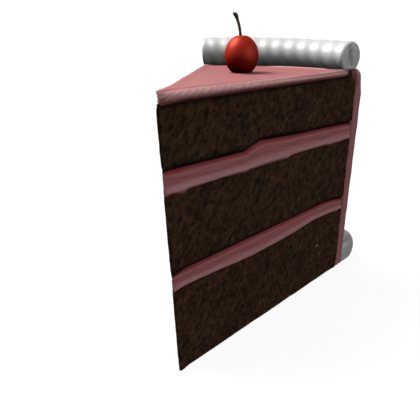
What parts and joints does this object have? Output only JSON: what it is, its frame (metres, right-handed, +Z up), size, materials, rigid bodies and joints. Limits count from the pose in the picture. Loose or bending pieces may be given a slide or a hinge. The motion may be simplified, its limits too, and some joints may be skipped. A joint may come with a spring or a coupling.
{
  "type": "slice of chocolate cake",
  "caption": "Tall wedge of layered chocolate cake with pink filling and icing, piped cream along the rim and base, and a stemmed cherry.",
  "frame": {"origin": "centre of the slice's footprint box, on the surface it stands on", "axes": "+Z up, +Y from the tip towards the iced rim, +X towards the cut face on the right as seen from the tip"},
  "size_m": [0.0982, 0.1356, 0.1356],
  "materials": {
    "chocolate_sponge": "dry open crumb of dark chocolate sponge, no shine",
    "pink_filling": "soft pink buttercream, smeared by the knife",
    "pink_icing": "smooth pink buttercream, satin",
    "whipped_cream": "white piped cream, satin",
    "cherry_skin": "glossy red cherry skin",
    "cherry_stem": "dry brown stem"
  },
  "bodies": {
    "root": {"sponge_bottom": "chocolate_sponge", "filling_lower": "pink_filling", "sponge_middle": "chocolate_sponge", "filling_upper": "pink_filling", "sponge_top": "chocolate_sponge", "icing": "pink_icing", "cream_border_top": "whipped_cream", "cream_border_base": "whipped_cream", "cherry": "cherry_skin", "cherry_stem": "cherry_stem"}
  },
  "joints": []
}
